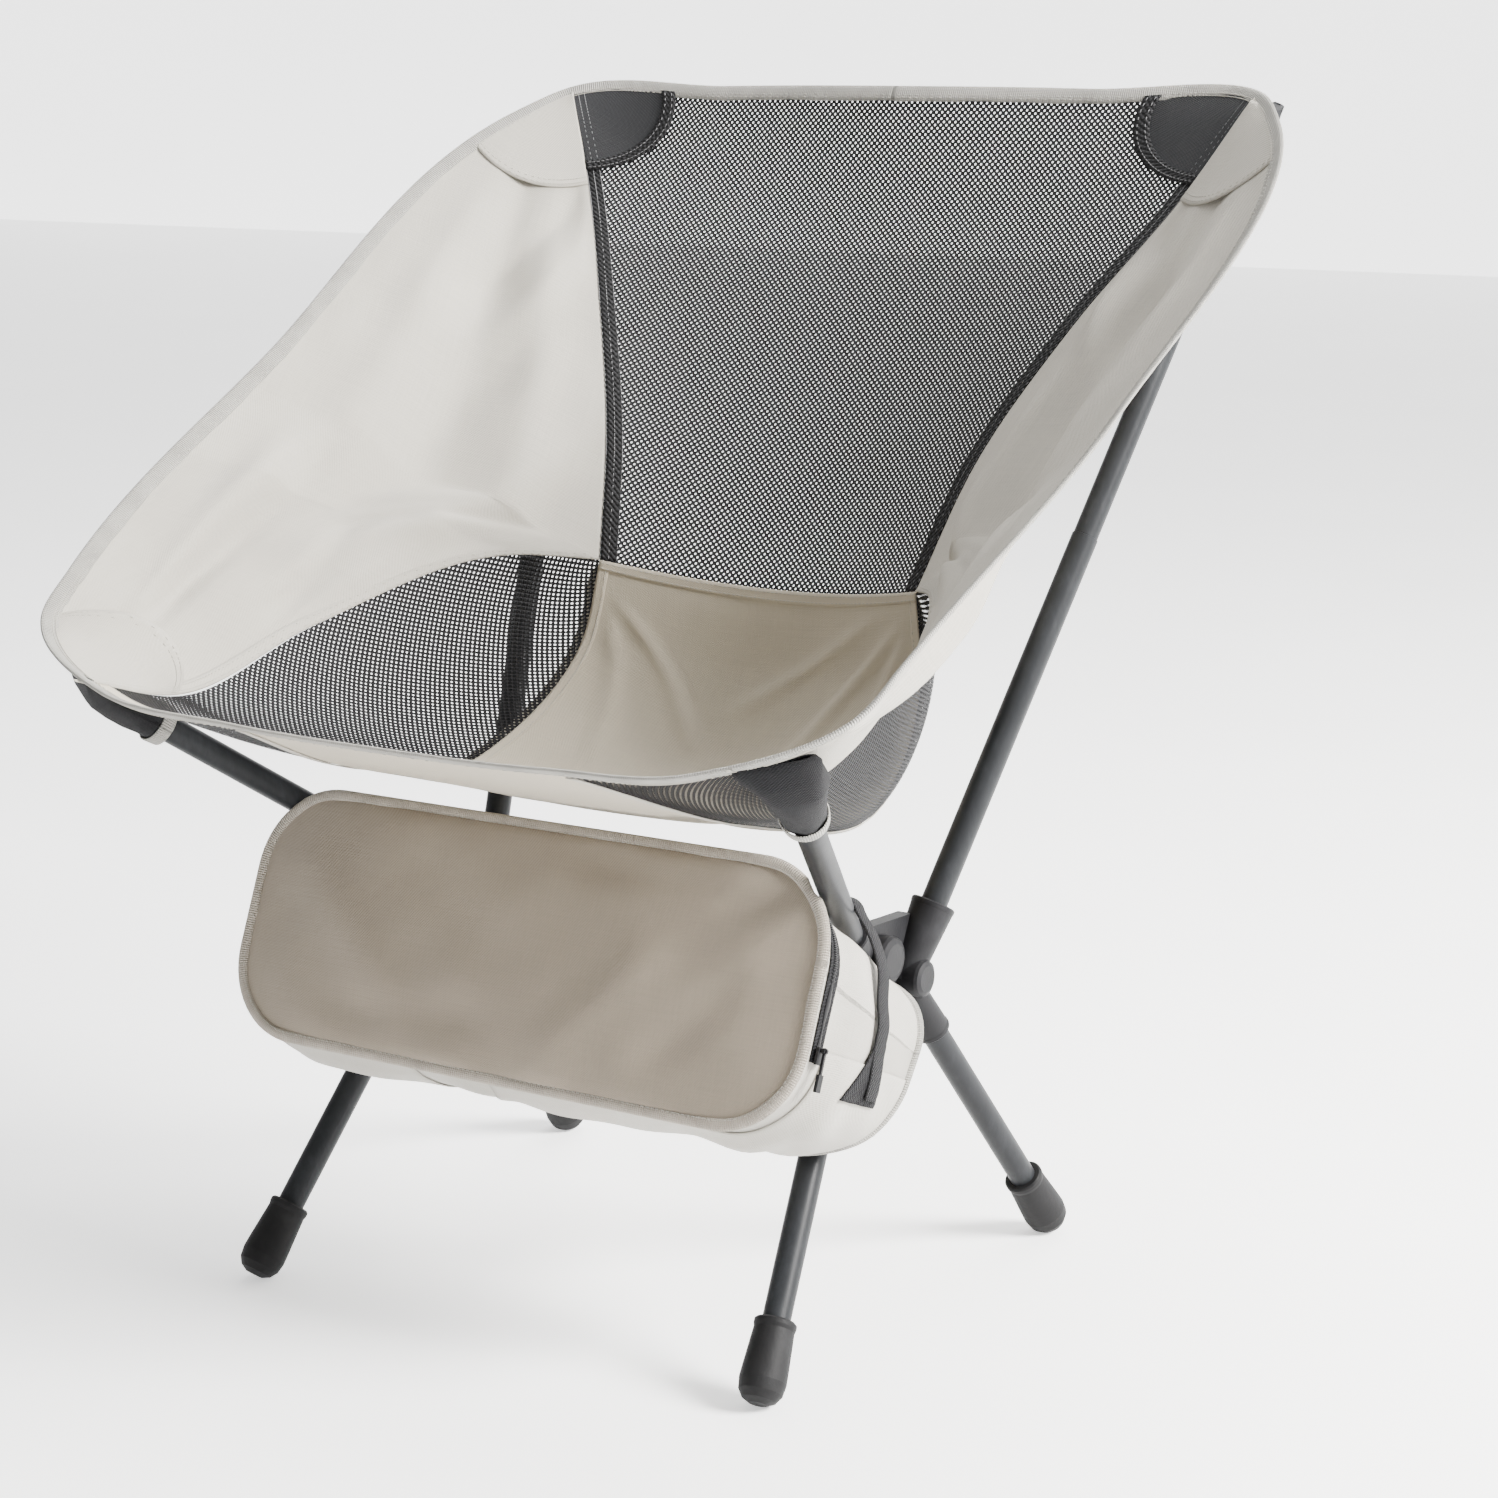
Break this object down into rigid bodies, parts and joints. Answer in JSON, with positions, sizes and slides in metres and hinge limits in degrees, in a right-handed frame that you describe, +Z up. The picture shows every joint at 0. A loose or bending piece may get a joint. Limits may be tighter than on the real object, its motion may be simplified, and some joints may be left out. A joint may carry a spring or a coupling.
{
  "type": "camp chair",
  "caption": "Low folding camp chair: a beige cloth and black mesh bucket sling held on a shock-corded pole frame with splayed legs, its storage bag hung below the seat front.",
  "frame": {"origin": "on the floor, midway between the sides and between the front and back of the sling", "axes": "+Z up; the sitter faces -Y; +X is the sitter's left, which is the right of someone who faces the chair from in front; the nodes named right are on +X"},
  "size_m": [0.575, 0.5213, 0.652],
  "materials": {
    "black_plastic": "moulded, satin",
    "foot_rubber": "ribbed, matte",
    "tube": "charcoal anodised, satin",
    "ferrule_metal": "plain, drawn",
    "elastic_cord": "braided sheath over elastic",
    "black_mesh": "knitted mesh with round holes",
    "dark_cloth": "plain weave",
    "beige_cloth": "plain weave, matte",
    "beige_tape": "ribbed woven tape",
    "black_webbing": "woven webbing",
    "zip_metal": "black lacquer"
  },
  "bodies": {
    "frame_and_sling": {"hub_left": "black_plastic", "hub_right": "black_plastic", "pole_end_plugs": "black_plastic", "crossbar": "tube", "front_pole_left": "tube", "front_pole_right": "tube", "back_pole_lower_left": "tube", "back_pole_lower_right": "tube", "back_pole_upper_left": "tube", "back_pole_upper_right": "tube", "ferrule_left": "ferrule_metal", "ferrule_right": "ferrule_metal", "frame_cords": "elastic_cord", "back_mesh": "black_mesh", "seat_mesh_left": "black_mesh", "seat_mesh_right": "black_mesh", "back_corner_left": "dark_cloth", "back_corner_right": "dark_cloth", "back_pocket_left": "dark_cloth", "back_pocket_right": "dark_cloth", "front_pocket_left": "dark_cloth", "front_pocket_right": "dark_cloth", "seat_panel": "beige_cloth", "side_panel_left": "beige_cloth", "side_panel_right": "beige_cloth", "rim_binding": "beige_tape", "pocket_webbing_left": "beige_tape", "pocket_webbing_right": "beige_tape"},
    "leg_front_left": {"leg_front_left": "tube", "foot_front_left": "foot_rubber", "leg_cord_front_left": "elastic_cord"},
    "leg_front_right": {"leg_front_right": "tube", "foot_front_right": "foot_rubber", "leg_cord_front_right": "elastic_cord"},
    "leg_rear_left": {"leg_rear_left": "tube", "foot_rear_left": "foot_rubber", "leg_cord_rear_left": "elastic_cord"},
    "leg_rear_right": {"leg_rear_right": "tube", "foot_rear_right": "foot_rubber", "leg_cord_rear_right": "elastic_cord"},
    "bag": {"bag_front_panel": "beige_cloth", "bag_back_panel": "beige_cloth", "bag_gusset": "beige_cloth", "bag_binding_front": "beige_tape", "bag_binding_back": "beige_tape", "bag_zip": "black_webbing", "bag_strap_left": "black_webbing", "bag_strap_right": "black_webbing", "strap_tab_left": "black_webbing", "strap_tab_right": "black_webbing"},
    "zip_slider": {"zip_slider": "zip_metal"},
    "zip_pull": {"zip_pull": "black_plastic"}
  },
  "joints": [
    {"name": "front_left_leg_pull", "type": "slide", "parent": "frame_and_sling", "child": "leg_front_left", "axis": [-0.1295, -0.6058, -0.785], "range_m": [0, 0.029], "stiffness_N_per_m": 120, "springref_m": -0.06},
    {"name": "front_right_leg_pull", "type": "slide", "parent": "frame_and_sling", "child": "leg_front_right", "axis": [0.1295, -0.6058, -0.785], "range_m": [0, 0.029], "stiffness_N_per_m": 120, "springref_m": -0.06},
    {"name": "rear_left_leg_pull", "type": "slide", "parent": "frame_and_sling", "child": "leg_rear_left", "axis": [-0.1414, 0.5703, -0.8092], "range_m": [0, 0.029], "stiffness_N_per_m": 120, "springref_m": -0.06},
    {"name": "rear_right_leg_pull", "type": "slide", "parent": "frame_and_sling", "child": "leg_rear_right", "axis": [0.1414, 0.5703, -0.8092], "range_m": [0, 0.029], "stiffness_N_per_m": 120, "springref_m": -0.06},
    {"name": "bag_swing", "type": "hinge", "parent": "frame_and_sling", "child": "bag", "pos_m": [0, -0.076, 0.2366], "axis": [1, 0, 0], "range_deg": [-2, 0.5]},
    {"name": "zip_slide", "type": "slide", "parent": "bag", "child": "zip_slider", "axis": [0, 0.3907, 0.9205], "range_m": [0, 0.036]},
    {"name": "zip_pull_swing", "type": "hinge", "parent": "zip_slider", "child": "zip_pull", "pos_m": [0.1902, -0.14466, 0.18684], "axis": [0, 0.9205, -0.3907], "range_deg": [-130, 0]}
  ]
}
